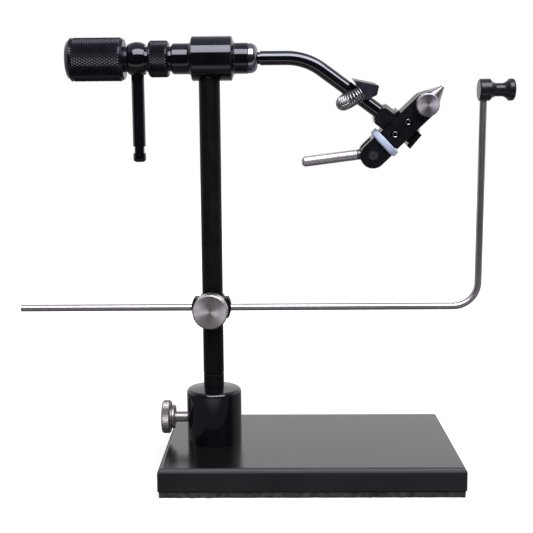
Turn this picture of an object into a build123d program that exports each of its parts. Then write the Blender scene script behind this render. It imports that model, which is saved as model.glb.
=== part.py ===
from build123d import *
from math import cos, dist, pi, radians, sin, sqrt, tan
import os

# Rotary fly tying vise on a pedestal base, in millimetres and degrees.
# Origin at the centre of the pad's underside, X to the jaws' side, Y to the back, Z up.

# Clearances
RUN_FIT = 0.05  # radial, shafts that turn or slide in a bore
SNUG_FIT = 0.02  # radial, pieces that are screwed or pressed together
AIR = 0.3  # between faces that pass each other
TOUCH = 0.1  # between faces that bear on each other and still move

# Base
BASE_LENGTH = 133.2
BASE_DEPTH = 82.0
PLATE_THICK = 10.0
PLATE_ROUND = 2.0  # along the upper edges
PAD_THICK = 3.0
PAD_INSET = 0.6
POST_FROM_EDGE = 22.2  # post axis from the plate's left edge

# Socket and its bolt
SOCKET_DIA = 25.4
SOCKET_HEIGHT = 25.7
SOCKET_ROUND = 1.8
SOCKET_SLOPE = 6.0  # of the top, up to the post
SOCKET_FLOOR = 7.0
BOLT_DIA = 6.0
BOLT_HEAD_DIA = 11.0
BOLT_HEAD = 4.0
BOLT_THREAD = 5.5  # length in the socket

# Thumbscrew in the socket's side
THUMB_HEIGHT = 11.05  # above the plate
THUMB_DIA = 4.76
THUMB_STANDOFF = 5.7  # bare shank between socket and collar
THUMB_COLLAR_DIA = 11.0
THUMB_COLLAR = 2.0
THUMB_HEAD_DIA = 15.4
THUMB_HEAD = 3.9
THUMB_EDGE = 0.5
TIP_DIA = 3.8
TIP_LENGTH = 2.0

# Post
STEM_DIA = 9.525
STUB_DIA = 9.4
SEAM_HEIGHT = 6.6  # seam above the socket
SEAM_EDGE = 0.35  # bevel on both sides of the seam
SPIGOT_DIA = 6.0
SPIGOT_LENGTH = 12.0
AXIS_HEIGHT = 176.1  # rotary axis above the plate

# Rotary housing, lengths along X from the post's axis
BARREL_DIA = 19.6
BARREL_LEFT = 7.7
BARREL_RIGHT = 11.2
BARREL_SLANT = 0.8  # lean of the barrel's front face
BARREL_EDGE = 0.4
BOSS_DIA = 13.6
BOSS_LEFT = 8.8  # length of the boss behind the barrel
BOSS_RIGHT = 6.55
BOSS_EDGE = 0.6
BOSS_FILLET = 1.9
NOSE_LENGTH = 4.0
NOSE_DIA = 7.7
NOSE_BASE_DIA = 13.2
NOSE_BOW = 0.95
NIPPLE_DIA = 10.0
NIPPLE_LENGTH = 6.4
NECK_DIA = 11.0
NECK_LENGTH = 1.25
BUSH_DIA = 9.0
BUSH_LENGTH = 10.0
POST_PIN_DIA = 2.5
POST_PIN_DROP = 7.6  # pin below the rotary axis
STEM_TOP_DROP = 5.4

# Pieces on the shaft behind the housing
RING_DIA = 16.3
RING_LENGTH = 9.0
RING_WALL = 2.0
RING_EDGE = 0.5
WASHER_THICK = 1.3
HUB_DIA = 15.2
HUB_LENGTH = 7.75
HANDLE_DIA = 5.75
HANDLE_REACH = 45.7  # tip below the axis
HANDLE_SEAT = 6.6
HANDLE_STUD_DIA = 4.0
HANDLE_STUD = 2.6
GROOVE_DIA = 4.5
GROOVE_WIDTH = 3.0
GROOVE_FROM_TIP = 4.0
KNOB_NECK_DIA = 11.3
KNOB_NECK = 1.8
KNOB_DIA = 19.3
KNOB_LENGTH = 25.5
KNOB_CHAMFER = 1.6
KNOB_RIM = 1.0  # chamfer beside the neck
KNOB_BORE_DEPTH = 20.0
SET_SCREW_DIA = 4.0
SET_SCREW_SINK = 0.4  # below the surface round it
HEX_KEY = 2.0
HEX_DEPTH = 1.0
KNOB_SCREW_FROM_NECK = 7.0

# Rotary shaft
SHAFT_DIA = 6.35
SHAFT_BEND_X = 43.25  # corner of the bend from the post's axis
SHAFT_BEND_R = 27.0
SHAFT_SLOPE = 36.0
HEAD_ROLL = 7.0  # turn of shaft and jaws about the rotary axis
SLOPE_RUN = 53.1  # from the bend's corner to the jaws' axis
GROOVE_SHAFT_DIA = 5.3
GROOVE_SHAFT = 1.1

# Jaws, lengths along the jaws' axis from the lever's pivot
JAW_ANGLE = 44.0
HEAD_STATION = 17.4  # where the shaft's axis meets the jaws' axis
CLEVIS_R = 5.85
CLEVIS_DEPTH = 11.0
CLEVIS_WEB = 1.55
CLEVIS_SLOT = 5.3
CLEVIS_NECK_DIA = 7.0
NYLON_DIA = 15.4
NYLON_THICK = 3.3
NYLON_EDGE = 0.6
NYLON_ROUND = 1.2  # on the clevis side
JAW_WIDTH = 11.0
JAW_DEPTH = 10.0  # both jaws together, front to back
JAW_GAP = 1.4
TIP_GAP = 0.24
JAW_TAPER_STATION = 33.0
JAW_TIP_STATION = 43.4
JAW_TIP_WIDTH = 1.3
JAW_TIP_DEPTH = 1.6
JAW_NIP = 5.0  # length of the gripping faces
ADJUST_STATION = 32.7
ADJUST_DIA = 3.0
DISC_DIA = 10.3
DISC_THICK = 3.5
DISC_EDGE = 0.4
SPRING_RING_DIA = 5.4
SPRING_RING_WALL = 0.9
SPRING_RING_LENGTH = 2.4
GUIDE_DIA = 2.9
GUIDE_STATIONS = (13.5, 21.45)
GUIDE_PLAY = 0.45
GUIDE_SINK = 0.5
GUIDE_KEY = 1.5

# Cam and lever
PIN_DIA = 3.2
PIN_END_DIA = 4.1
CAM_R = 3.6
CAM_LIFT = 1.0
CAM_PLAY = 0.2  # between cam and wedge when closed
CAM_SIDE_PLAY = 0.2
LEVER_SWING = 75.0
LEVER_DROP = 7.15  # below the horizontal when closed
LEVER_RISE = 0.6  # lever's axis above the pivot
LEVER_DIA = 4.76
LEVER_ROOT = 6.6
LEVER_REACH = 32.4
LEVER_EDGE = 0.4
LEVER_ROUND = 1.9
LEVER_SPIGOT_DIA = 3.0
LEVER_SPIGOT = 2.5
WEDGE_DIA = 3.0
WEDGE_STATION = 11.0  # where the ramp reaches the near jaw's inner face
WEDGE_PLAY = 0.2

# Head block
BLOCK_WIDTH = 9.8
BLOCK_SINK = 0.35  # its middle below the shaft's axis
BLOCK_LENGTH = 5.3
BLOCK_GAP = 7.3  # from the jaws' axis to the shaft's end
BLOCK_FOOT = 1.8  # beyond the shaft's end, cut to the jaws
BLOCK_CORNER = 1.6
BLOCK_FACET = 1.4  # of the upper front edge, down the front
BLOCK_FACET_BACK = 6.0  # the same, back along the top
BLOCK_BACK = 5.9  # behind the shaft's axis
SADDLE_FROM = 12.6
SADDLE_TO = 21.9
SADDLE_THICK = 3.4
SADDLE_TOP = 6.9
LUG_THICK = 2.2
LUG_GAP = 2.5  # from the jaws at its free end
LUG_FALL = 0.9  # less gap at its root
LUG_FROM = 13.9
LUG_FREE = 1.3  # length that stands free of the saddle
LUG_FRONT = 1.0
LUG_SLOPE = 1.4  # slanting end of the saddle beside the lug
HEAD_SCREW_DIA = 3.0

# Material clip
CLIP_RUN = 28.0  # along the slope from the bend's corner
CLIP_ANGLE = 33.0
COIL_R = 2.95
WIRE_DIA = 0.5
LOOP_R = 6.95
LEG_LENGTH = 2.5
COIL_TURNS = 15
COIL_LEAD = 1.5  # each end, from the plate to the first turn
LEAD_TURN = 60.0  # angle round the coil that each end takes
CLIP_WIDTH = 18.0
CLIP_LENGTH = 11.2
CLIP_HEIGHT = 4.3
CLIP_TILT = 12.0
CLIP_TOP_X = -1.5  # upper corner from the loop's centre
CLIP_TOP_Z = 6.9
CLIP_EDGE = 0.4

# Bobbin rest
REST_HEIGHT = 64.7  # rod above the plate
LINER_WALL = 0.7
CLAMP_DIA = 17.9
CLAMP_HEIGHT = 9.2
CLAMP_RING = 5.2  # height of the part round the post
CLAMP_BLOCK_BACK = 4.0  # back of the block in front of the post's axis
CLAMP_BACK_WALL = 2.4
CLAMP_FRONT_WALL = 1.7
CLAMP_EDGE = 0.5
CLAMP_SCREW_DROP = 0.5  # screw below the rod
CLAMP_SCREW_DIA = 5.0
CLAMP_SCREW_GRIP = 3.5  # length in the knob
DISC_KNOB_DIA = 15.7
DISC_KNOB_THICK = 7.4
DISC_KNOB_EDGE = 0.6
ROD_DIA = 3.175
ROD_WALL = 0.45  # metal between the rod and the liner
ROD_LEFT = 86.8
ROD_RIGHT = 121.1
ROD_LEAN = 0.6  # the upright leans out by this up to the spool
ROD_BEND_R = 11.0
CRADLE_HEIGHT = 161.0  # above the plate
CRADLE_LEFT = 2.2
CRADLE_HUB_DIA = 9.6
CRADLE_HUB_END = 2.6
CRADLE_WAIST_DIA = 5.8
CRADLE_WAIST_FROM = 5.2
CRADLE_WAIST_TO = 8.2
CRADLE_FLANGE_FROM = 10.9
CRADLE_FLANGE_TO = 12.3
CRADLE_END = 13.4
CRADLE_EDGE = 0.5
CRADLE_DISH = 0.31  # hollow of the slopes beside the waist
CRADLE_BORE = 2.6  # above the spool's axis
CRADLE_SCREW_DIA = 3.0

# Places worked out from the sizes
PLATE_TOP = PAD_THICK + PLATE_THICK
POST_X = POST_FROM_EDGE - BASE_LENGTH / 2
SOCKET_TOP = PLATE_TOP + SOCKET_HEIGHT
STUB_BOTTOM = PLATE_TOP + SOCKET_FLOOR
SEAM_Z = SOCKET_TOP + SEAM_HEIGHT
AXIS_Z = PLATE_TOP + AXIS_HEIGHT
SHAFT_R = SHAFT_DIA / 2
SHAFT_HOLE_R = SHAFT_R + AIR
BOSS_LEFT_X = POST_X - BARREL_LEFT - BOSS_LEFT
BOSS_RIGHT_X = POST_X + BARREL_RIGHT + BOSS_RIGHT
RING_RIGHT_X = BOSS_LEFT_X - NECK_LENGTH - TOUCH
RING_LEFT_X = RING_RIGHT_X - RING_LENGTH
WASHER_RIGHT_X = RING_LEFT_X - TOUCH
HUB_RIGHT_X = WASHER_RIGHT_X - WASHER_THICK
HUB_X = HUB_RIGHT_X - HUB_LENGTH / 2
KNOB_RIGHT_X = HUB_RIGHT_X - HUB_LENGTH
SHAFT_LEFT_X = KNOB_RIGHT_X - KNOB_BORE_DEPTH

BEND = Vector(POST_X + SHAFT_BEND_X, 0, AXIS_Z)
FRONT = Vector(0, -1, 0)
HEAD_FRONT = FRONT.rotate(Axis.X, HEAD_ROLL)
SLOPE_DIR = Vector(cos(radians(SHAFT_SLOPE)), 0, -sin(radians(SHAFT_SLOPE))).rotate(Axis.X, HEAD_ROLL)
JAW_DIR = Vector(cos(radians(JAW_ANGLE)), 0, sin(radians(JAW_ANGLE))).rotate(Axis.X, HEAD_ROLL)
CROSSING = BEND + SLOPE_DIR * SLOPE_RUN
PIVOT = CROSSING - JAW_DIR * HEAD_STATION
JAW_REAR = CLEVIS_R + NYLON_THICK
REST_Z = PLATE_TOP + REST_HEIGHT
CRADLE_Z = PLATE_TOP + CRADLE_HEIGHT
LINER_R = STEM_DIA / 2 + RUN_FIT + LINER_WALL
ROD_Y = -(LINER_R + RUN_FIT + ROD_WALL + RUN_FIT + ROD_DIA / 2)
CLAMP_FRONT_Y = ROD_Y - ROD_DIA / 2 - RUN_FIT - CLAMP_FRONT_WALL
CLAMP_BACK_Y = LINER_R + RUN_FIT + CLAMP_BACK_WALL
ROD_X = POST_X + ROD_RIGHT

# Frames: x along the piece's axis, z towards the front
SHAFT_FRAME = Plane((POST_X, 0, AXIS_Z), x_dir=(1, 0, 0), z_dir=FRONT)
SLOPE_FRAME = Plane(CROSSING, x_dir=SLOPE_DIR, z_dir=HEAD_FRONT)
JAW_FRAME = Plane(PIVOT, x_dir=JAW_DIR, z_dir=HEAD_FRONT)
CLIP_CENTRE = BEND + SLOPE_DIR * CLIP_RUN
CLIP_DIR = Vector(cos(radians(CLIP_ANGLE)), 0, sin(radians(CLIP_ANGLE))).rotate(Axis.X, HEAD_ROLL)
CLIP_FRAME = Plane(CLIP_CENTRE, x_dir=CLIP_DIR, z_dir=HEAD_FRONT)

parts = {}


def outline(stations):
    """Closed face through (x, y) stations; a station of four numbers is reached by an arc through its first two."""
    lines = []
    here = stations[-1][-2:]
    for station in stations:
        there = station[-2:]
        if len(station) == 4:
            lines.append(ThreePointArc(here, station[:2], there))
        else:
            lines.append(Line(here, there))
        here = there
    return make_face(lines)


def turned(frame, stations):
    """Solid of revolution about the frame's x axis from (along, radius) stations that start and end on the axis."""
    closed = [(stations[0][0], 0)] + list(stations) + [(stations[-1][-2], 0)]
    return revolve(frame * outline(closed), axis=Axis(frame.origin, frame.x_dir))


def rod(start, end, dia):
    """Round bar between two points."""
    way = Vector(*end) - Vector(*start)
    bar = Cylinder(dia / 2, way.length, align=(Align.CENTER, Align.CENTER, Align.MIN))
    return Plane(Vector(*start), z_dir=way) * bar


def block(low, high):
    """Box between two corners."""
    size = [h - l for l, h in zip(low, high)]
    return Pos(*low) * Box(*size, align=(Align.MIN, Align.MIN, Align.MIN))


def round_mid(centre, radius, angle):
    """Point of a circle at an angle, in degrees."""
    return centre[0] + radius * cos(radians(angle)), centre[1] + radius * sin(radians(angle))


def bowed(start, end, bow):
    """Middle point of an arc between two points that bows out by a distance, to the left of its run."""
    run = end[0] - start[0]
    rise = end[1] - start[1]
    length = dist(start, end)
    return (start[0] + end[0]) / 2 - bow * rise / length, (start[1] + end[1]) / 2 + bow * run / length


def set_screw(start, end, dia, key):
    """Headless screw between two points, with a hexagon socket at its end."""
    way = Vector(*end) - Vector(*start)
    body = rod(start, end, dia)
    mouth = Plane(Vector(*end), z_dir=way * -1)
    socket = extrude(mouth * RegularPolygon(key / 2, 6), amount=HEX_DEPTH)
    return body - socket


# Base: plate, pad, socket and bolt
plate = Pos(0, 0, PAD_THICK) * Box(
    BASE_LENGTH, BASE_DEPTH, PLATE_THICK, align=(Align.CENTER, Align.CENTER, Align.MIN)
)
plate = fillet(plate.faces().sort_by(Axis.Z)[-1].edges(), PLATE_ROUND)
bolt_seat_z = PAD_THICK + BOLT_HEAD + AIR
plate -= rod((POST_X, 0, PAD_THICK), (POST_X, 0, PLATE_TOP), BOLT_DIA + 2 * SNUG_FIT)
plate -= rod((POST_X, 0, PAD_THICK), (POST_X, 0, bolt_seat_z), BOLT_HEAD_DIA + 2 * AIR)
parts["base_plate"] = plate
parts["base_pad"] = Box(
    BASE_LENGTH - 2 * PAD_INSET,
    BASE_DEPTH - 2 * PAD_INSET,
    PAD_THICK,
    align=(Align.CENTER, Align.CENTER, Align.MIN),
)

bolt_top_z = PLATE_TOP + BOLT_THREAD
bolt = rod((POST_X, 0, bolt_seat_z - BOLT_HEAD), (POST_X, 0, bolt_seat_z), BOLT_HEAD_DIA)
bolt += rod((POST_X, 0, bolt_seat_z), (POST_X, 0, bolt_top_z), BOLT_DIA)
parts["socket_bolt"] = bolt

thumb_z = PLATE_TOP + THUMB_HEIGHT
socket_frame = Plane((POST_X, 0, PLATE_TOP), x_dir=(0, 0, 1), z_dir=FRONT)
bore_r = STUB_DIA / 2 + RUN_FIT
edge_r = SOCKET_DIA / 2 - SOCKET_ROUND
slope_from = round_mid((0, edge_r), SOCKET_ROUND, SOCKET_SLOPE)
slope_rise = (slope_from[1] - bore_r) * tan(radians(SOCKET_SLOPE))
edge_centre = (SOCKET_HEIGHT - slope_rise - slope_from[0], edge_r)
socket = turned(
    socket_frame,
    [
        (0, SOCKET_DIA / 2),
        (edge_centre[0], SOCKET_DIA / 2),
        (
            *round_mid(edge_centre, SOCKET_ROUND, (90 + SOCKET_SLOPE) / 2),
            *round_mid(edge_centre, SOCKET_ROUND, SOCKET_SLOPE),
        ),
        (SOCKET_HEIGHT, bore_r),
    ],
)
socket -= rod((POST_X, 0, STUB_BOTTOM), (POST_X, 0, SOCKET_TOP), 2 * bore_r)
socket -= rod((POST_X, 0, PLATE_TOP), (POST_X, 0, bolt_top_z), BOLT_DIA + 2 * SNUG_FIT)
socket -= rod((POST_X, 0, thumb_z), (POST_X - SOCKET_DIA, 0, thumb_z), THUMB_DIA + 2 * RUN_FIT)
parts["post_socket"] = socket

# Thumbscrew: brass tip, shank, collar and knurled head
thumb_frame = Plane((POST_X, 0, thumb_z), x_dir=(-1, 0, 0), z_dir=FRONT)
tip_start = STUB_DIA / 2 + TOUCH
tip_end = tip_start + TIP_LENGTH
collar_start = SOCKET_DIA / 2 + THUMB_STANDOFF
head_start = collar_start + THUMB_COLLAR
head_end = head_start + THUMB_HEAD
parts["thumbscrew_tip"] = turned(thumb_frame, [(tip_start, TIP_DIA / 2), (tip_end, TIP_DIA / 2)])
parts["thumbscrew"] = turned(
    thumb_frame,
    [
        (tip_end, THUMB_DIA / 2),
        (collar_start, THUMB_DIA / 2),
        (collar_start, THUMB_COLLAR_DIA / 2 - THUMB_EDGE),
        (collar_start + THUMB_EDGE, THUMB_COLLAR_DIA / 2),
        (head_start, THUMB_COLLAR_DIA / 2),
        (head_start, THUMB_HEAD_DIA / 2 - THUMB_EDGE),
        (head_start + THUMB_EDGE, THUMB_HEAD_DIA / 2),
        (head_end - THUMB_EDGE, THUMB_HEAD_DIA / 2),
        (head_end, THUMB_HEAD_DIA / 2 - THUMB_EDGE),
    ],
)

# Post: stub with its spigot, and the stem that turns on it
stem_top = AXIS_Z - STEM_TOP_DROP
pin_z = AXIS_Z - POST_PIN_DROP
stub = rod((POST_X, 0, STUB_BOTTOM), (POST_X, 0, SEAM_Z), STUB_DIA)
stub = chamfer(stub.faces().sort_by(Axis.Z)[-1].edges(), SEAM_EDGE)
stub += rod((POST_X, 0, SEAM_Z), (POST_X, 0, SEAM_Z + SPIGOT_LENGTH), SPIGOT_DIA)
parts["post_stub"] = stub
barrel_r = BARREL_DIA / 2
pin_reach = sqrt(barrel_r**2 - POST_PIN_DROP**2) - POST_PIN_DIA / 2 * POST_PIN_DROP / barrel_r - AIR
pin_low = (POST_X, -pin_reach, pin_z)
pin_high = (POST_X, pin_reach, pin_z)
pin_hole = rod(pin_low, (POST_X, barrel_r, pin_z), POST_PIN_DIA + 2 * SNUG_FIT)
stem = rod((POST_X, 0, SEAM_Z), (POST_X, 0, stem_top), STEM_DIA)
stem = chamfer(stem.faces().sort_by(Axis.Z)[0].edges(), SEAM_EDGE)
stem -= rod((POST_X, 0, SEAM_Z), (POST_X, 0, SEAM_Z + SPIGOT_LENGTH + AIR), SPIGOT_DIA + 2 * RUN_FIT)
parts["post_stem"] = stem - pin_hole
parts["post_pin"] = rod(pin_low, pin_high, POST_PIN_DIA)

# Rotary housing, its bushings and front cap
boss_r = BOSS_DIA / 2
fillet_centre = (-BARREL_LEFT - BOSS_FILLET, boss_r + BOSS_FILLET)
housing = turned(
    SHAFT_FRAME,
    [
        (-BARREL_LEFT - BOSS_LEFT - NECK_LENGTH - NIPPLE_LENGTH, NIPPLE_DIA / 2),
        (-BARREL_LEFT - BOSS_LEFT - NECK_LENGTH, NIPPLE_DIA / 2),
        (-BARREL_LEFT - BOSS_LEFT - NECK_LENGTH, NECK_DIA / 2),
        (-BARREL_LEFT - BOSS_LEFT, NECK_DIA / 2),
        (-BARREL_LEFT - BOSS_LEFT, boss_r - BOSS_EDGE),
        (-BARREL_LEFT - BOSS_LEFT + BOSS_EDGE, boss_r),
        (fillet_centre[0], boss_r),
        (*round_mid(fillet_centre, BOSS_FILLET, -45), -BARREL_LEFT, fillet_centre[1]),
        (-BARREL_LEFT, barrel_r - BARREL_EDGE),
        (-BARREL_LEFT + BARREL_EDGE, barrel_r),
        (BARREL_RIGHT - BARREL_SLANT - BARREL_EDGE, barrel_r),
        (BARREL_RIGHT - BARREL_SLANT, barrel_r - BARREL_EDGE),
        (BARREL_RIGHT, boss_r + BARREL_EDGE),
        (BARREL_RIGHT + BARREL_EDGE, boss_r),
        (BARREL_RIGHT + BOSS_RIGHT - BARREL_EDGE, boss_r),
        (BARREL_RIGHT + BOSS_RIGHT, boss_r - BARREL_EDGE),
    ],
)
rear_bush_x = BOSS_LEFT_X + BOSS_EDGE
front_bush_x = BOSS_RIGHT_X - BUSH_LENGTH
housing -= rod((rear_bush_x, 0, AXIS_Z), (BOSS_RIGHT_X, 0, AXIS_Z), BUSH_DIA + 2 * SNUG_FIT)
housing -= rod((RING_LEFT_X, 0, AXIS_Z), (rear_bush_x, 0, AXIS_Z), 2 * SHAFT_HOLE_R)
housing -= rod((POST_X, 0, AXIS_Z - BARREL_DIA), (POST_X, 0, stem_top), STEM_DIA + 2 * SNUG_FIT)
parts["rotary_housing"] = housing - pin_hole


def bushing(start_x):
    """Plain bearing of the rotary shaft."""
    tube = rod((start_x, 0, AXIS_Z), (start_x + BUSH_LENGTH, 0, AXIS_Z), BUSH_DIA)
    return tube - rod(
        (start_x, 0, AXIS_Z), (start_x + BUSH_LENGTH, 0, AXIS_Z), SHAFT_DIA + 2 * RUN_FIT
    )


parts["rear_bushing"] = bushing(rear_bush_x)
parts["front_bushing"] = bushing(front_bush_x)
nose_x = BARREL_RIGHT + BOSS_RIGHT
nose_from = (nose_x, NOSE_BASE_DIA / 2)
nose_to = (nose_x + NOSE_LENGTH, NOSE_DIA / 2)
nose = turned(SHAFT_FRAME, [nose_from, (*bowed(nose_from, nose_to, NOSE_BOW), *nose_to)])
nose_right_x = BOSS_RIGHT_X + NOSE_LENGTH
parts["nose_cap"] = nose - rod((BOSS_RIGHT_X, 0, AXIS_Z), (nose_right_x, 0, AXIS_Z), 2 * SHAFT_HOLE_R)

# Tension ring on the housing's threaded nipple, and the drag washer
ring_start = RING_LEFT_X - POST_X
ring_end = RING_RIGHT_X - POST_X
ring = turned(
    SHAFT_FRAME,
    [
        (ring_start, RING_DIA / 2 - RING_EDGE),
        (ring_start + RING_EDGE, RING_DIA / 2),
        (ring_end - RING_EDGE, RING_DIA / 2),
        (ring_end, RING_DIA / 2 - RING_EDGE),
    ],
)
ring -= rod((RING_LEFT_X, 0, AXIS_Z), (RING_RIGHT_X, 0, AXIS_Z), 2 * SHAFT_HOLE_R)
ring -= rod((RING_LEFT_X + RING_WALL, 0, AXIS_Z), (RING_RIGHT_X, 0, AXIS_Z), NIPPLE_DIA + 2 * RUN_FIT)
parts["tension_ring"] = ring
washer = rod((HUB_RIGHT_X, 0, AXIS_Z), (WASHER_RIGHT_X, 0, AXIS_Z), NECK_DIA)
shaft_seat = rod((SHAFT_LEFT_X, 0, AXIS_Z), (WASHER_RIGHT_X, 0, AXIS_Z), SHAFT_DIA + 2 * SNUG_FIT)
parts["drag_washer"] = washer - shaft_seat

# Crank: ball hub with flat sides, hanging handle and set screw
hub_hole = rod((HUB_X, 0, AXIS_Z), (HUB_X, HUB_DIA, AXIS_Z), SET_SCREW_DIA + 2 * SNUG_FIT)
hub = Pos(HUB_X, 0, AXIS_Z) * Sphere(HUB_DIA / 2)
hub &= Pos(HUB_X, 0, AXIS_Z) * Box(HUB_LENGTH, HUB_DIA, HUB_DIA)
hub -= shaft_seat
hub -= hub_hole
seat_z = AXIS_Z - HANDLE_SEAT
stud_z = seat_z + HANDLE_STUD
tip_z = AXIS_Z - HANDLE_REACH
hub -= rod((HUB_X, 0, tip_z), (HUB_X, 0, seat_z), HANDLE_DIA + 2 * SNUG_FIT)
hub -= rod((HUB_X, 0, seat_z), (HUB_X, 0, stud_z), HANDLE_STUD_DIA + 2 * SNUG_FIT)
parts["crank_hub"] = hub
hub_screw_y = HUB_DIA / 2 - SET_SCREW_SINK
parts["hub_set_screw"] = set_screw(
    (HUB_X, SHAFT_R, AXIS_Z), (HUB_X, hub_screw_y, AXIS_Z), SET_SCREW_DIA, HEX_KEY
)
handle_frame = Plane((HUB_X, 0, AXIS_Z), x_dir=(0, 0, -1), z_dir=FRONT)
groove_end = HANDLE_REACH - GROOVE_FROM_TIP
groove_start = groove_end - GROOVE_WIDTH
handle_r = HANDLE_DIA / 2
tip_round = handle_r / 2
parts["crank_handle"] = turned(
    handle_frame,
    [
        (HANDLE_SEAT - HANDLE_STUD, HANDLE_STUD_DIA / 2),
        (HANDLE_SEAT, HANDLE_STUD_DIA / 2),
        (HANDLE_SEAT, handle_r),
        (groove_start, handle_r),
        (groove_start, GROOVE_DIA / 2),
        (groove_end, GROOVE_DIA / 2),
        (groove_end, handle_r),
        (HANDLE_REACH - tip_round, handle_r),
        (
            *round_mid((HANDLE_REACH - tip_round, handle_r - tip_round), tip_round, 45),
            HANDLE_REACH,
            handle_r - tip_round,
        ),
    ],
)

# Turning knob and its set screw
knob_right = KNOB_RIGHT_X - POST_X
knob_face = knob_right - KNOB_NECK
knob_left = knob_face - KNOB_LENGTH
knob = turned(
    SHAFT_FRAME,
    [
        (knob_left, KNOB_DIA / 2 - KNOB_CHAMFER),
        (knob_left + KNOB_CHAMFER, KNOB_DIA / 2),
        (knob_face - KNOB_RIM, KNOB_DIA / 2),
        (knob_face, KNOB_DIA / 2 - KNOB_RIM),
        (knob_face, KNOB_NECK_DIA / 2),
        (knob_right, KNOB_NECK_DIA / 2),
    ],
)
knob_screw_x = KNOB_RIGHT_X - KNOB_SCREW_FROM_NECK
knob -= shaft_seat
knob -= rod(
    (knob_screw_x, 0, AXIS_Z), (knob_screw_x, KNOB_DIA, AXIS_Z), SET_SCREW_DIA + 2 * SNUG_FIT
)
parts["turning_knob"] = knob
parts["knob_set_screw"] = set_screw(
    (knob_screw_x, SHAFT_R, AXIS_Z),
    (knob_screw_x, KNOB_DIA / 2 - SET_SCREW_SINK, AXIS_Z),
    SET_SCREW_DIA,
    HEX_KEY,
)

# Rotary shaft: straight through the housing, then bent down to the head block
block_near = SLOPE_RUN - BLOCK_GAP
shaft_end = BEND + SLOPE_DIR * (block_near - AIR)
shaft_start = Vector(SHAFT_LEFT_X, 0, AXIS_Z)
shaft_path = FilletPolyline(shaft_start, BEND, shaft_end, radius=SHAFT_BEND_R)
shaft = sweep(Plane(shaft_start, z_dir=(1, 0, 0)) * Circle(SHAFT_R), path=shaft_path)
groove_ring = rod((nose_right_x, 0, AXIS_Z), (nose_right_x + GROOVE_SHAFT, 0, AXIS_Z), SHAFT_DIA + 2 * AIR)
groove_ring -= rod(
    (nose_right_x, 0, AXIS_Z), (nose_right_x + GROOVE_SHAFT, 0, AXIS_Z), GROOVE_SHAFT_DIA
)
parts["rotary_shaft"] = shaft - groove_ring

# Head block: collar on the shaft, saddle behind the jaws and a lug below them
half_depth = JAW_DEPTH / 2
half_width = JAW_WIDTH / 2
half_gap = JAW_GAP / 2
saddle_back = -half_depth - SADDLE_THICK
half_block = BLOCK_WIDTH / 2
collar = block(
    (-BLOCK_GAP - BLOCK_LENGTH, -half_block - BLOCK_SINK, -BLOCK_BACK),
    (-BLOCK_GAP + BLOCK_FOOT, half_block - BLOCK_SINK, half_block),
)
facet_edge = collar.edges().filter_by(Axis.X).group_by(Axis.Y)[-1].sort_by(Axis.Z)[-1]
facet_front = collar.faces().sort_by(Axis.Z)[-1]
collar = chamfer(facet_edge, BLOCK_FACET, BLOCK_FACET_BACK, reference=facet_front)
collar = chamfer(collar.faces().sort_by(Axis.X)[0].edges(), BLOCK_CORNER)
jaw_room = half_width + AIR
collar = SLOPE_FRAME * collar
collar -= JAW_FRAME * block((0, -jaw_room, -half_depth), (JAW_TAPER_STATION, jaw_room, JAW_DEPTH))
lug_top = -half_width - LUG_GAP
lug_root = lug_top + LUG_FALL
plate_from = GUIDE_STATIONS[0] - GUIDE_DIA
saddle = block((plate_from, -half_width, saddle_back), (SADDLE_TO, half_width, -half_depth))
saddle += block((SADDLE_FROM, half_width, saddle_back), (SADDLE_TO, SADDLE_TOP, -half_depth))
lug_plan = outline(
    [
        (LUG_FROM, lug_top),
        (LUG_FROM, lug_top - LUG_THICK),
        (SADDLE_TO, lug_root - LUG_THICK),
        (SADDLE_TO, lug_root),
    ]
)
saddle += Pos(0, 0, saddle_back) * extrude(lug_plan, amount=LUG_FRONT - saddle_back)
web_low = lug_root - LUG_THICK / 2
web_plan = Plane.XZ * outline(
    [
        (LUG_FROM + LUG_FREE, saddle_back),
        (SADDLE_TO + LUG_SLOPE, saddle_back),
        (SADDLE_TO, -half_gap),
        (LUG_FROM + LUG_FREE, -half_gap),
    ]
)
saddle += Pos(0, -half_width - AIR, 0) * extrude(web_plan, amount=-half_width - AIR - web_low)
saddle += block(
    (LUG_FROM + LUG_FREE, -half_width - 2 * AIR, saddle_back), (SADDLE_TO, AIR - half_width, -half_depth)
)
saddle += block((SADDLE_FROM, half_width + AIR, saddle_back), (SADDLE_TO, SADDLE_TOP, half_depth - AIR))
head = collar + JAW_FRAME * saddle
head -= SLOPE_FRAME * rod(
    (-BLOCK_GAP - BLOCK_LENGTH, 0, 0), (-BLOCK_GAP - AIR, 0, 0), SHAFT_DIA + 2 * SNUG_FIT
)
head_screw_x = -BLOCK_GAP - (BLOCK_LENGTH - BLOCK_CORNER) / 2
head -= SLOPE_FRAME * rod(
    (head_screw_x, 0, 0), (head_screw_x, 0, -BLOCK_BACK), HEAD_SCREW_DIA + 2 * SNUG_FIT
)
guide_back = saddle_back + AIR
for station in GUIDE_STATIONS:
    head -= JAW_FRAME * rod((station, 0, 0), (station, 0, guide_back), GUIDE_DIA + 2 * SNUG_FIT)
parts["head_block"] = head
parts["head_set_screw"] = SLOPE_FRAME * set_screw(
    (head_screw_x, 0, -SHAFT_R),
    (head_screw_x, 0, -BLOCK_BACK + SET_SCREW_SINK),
    HEAD_SCREW_DIA,
    GUIDE_KEY,
)

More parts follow.
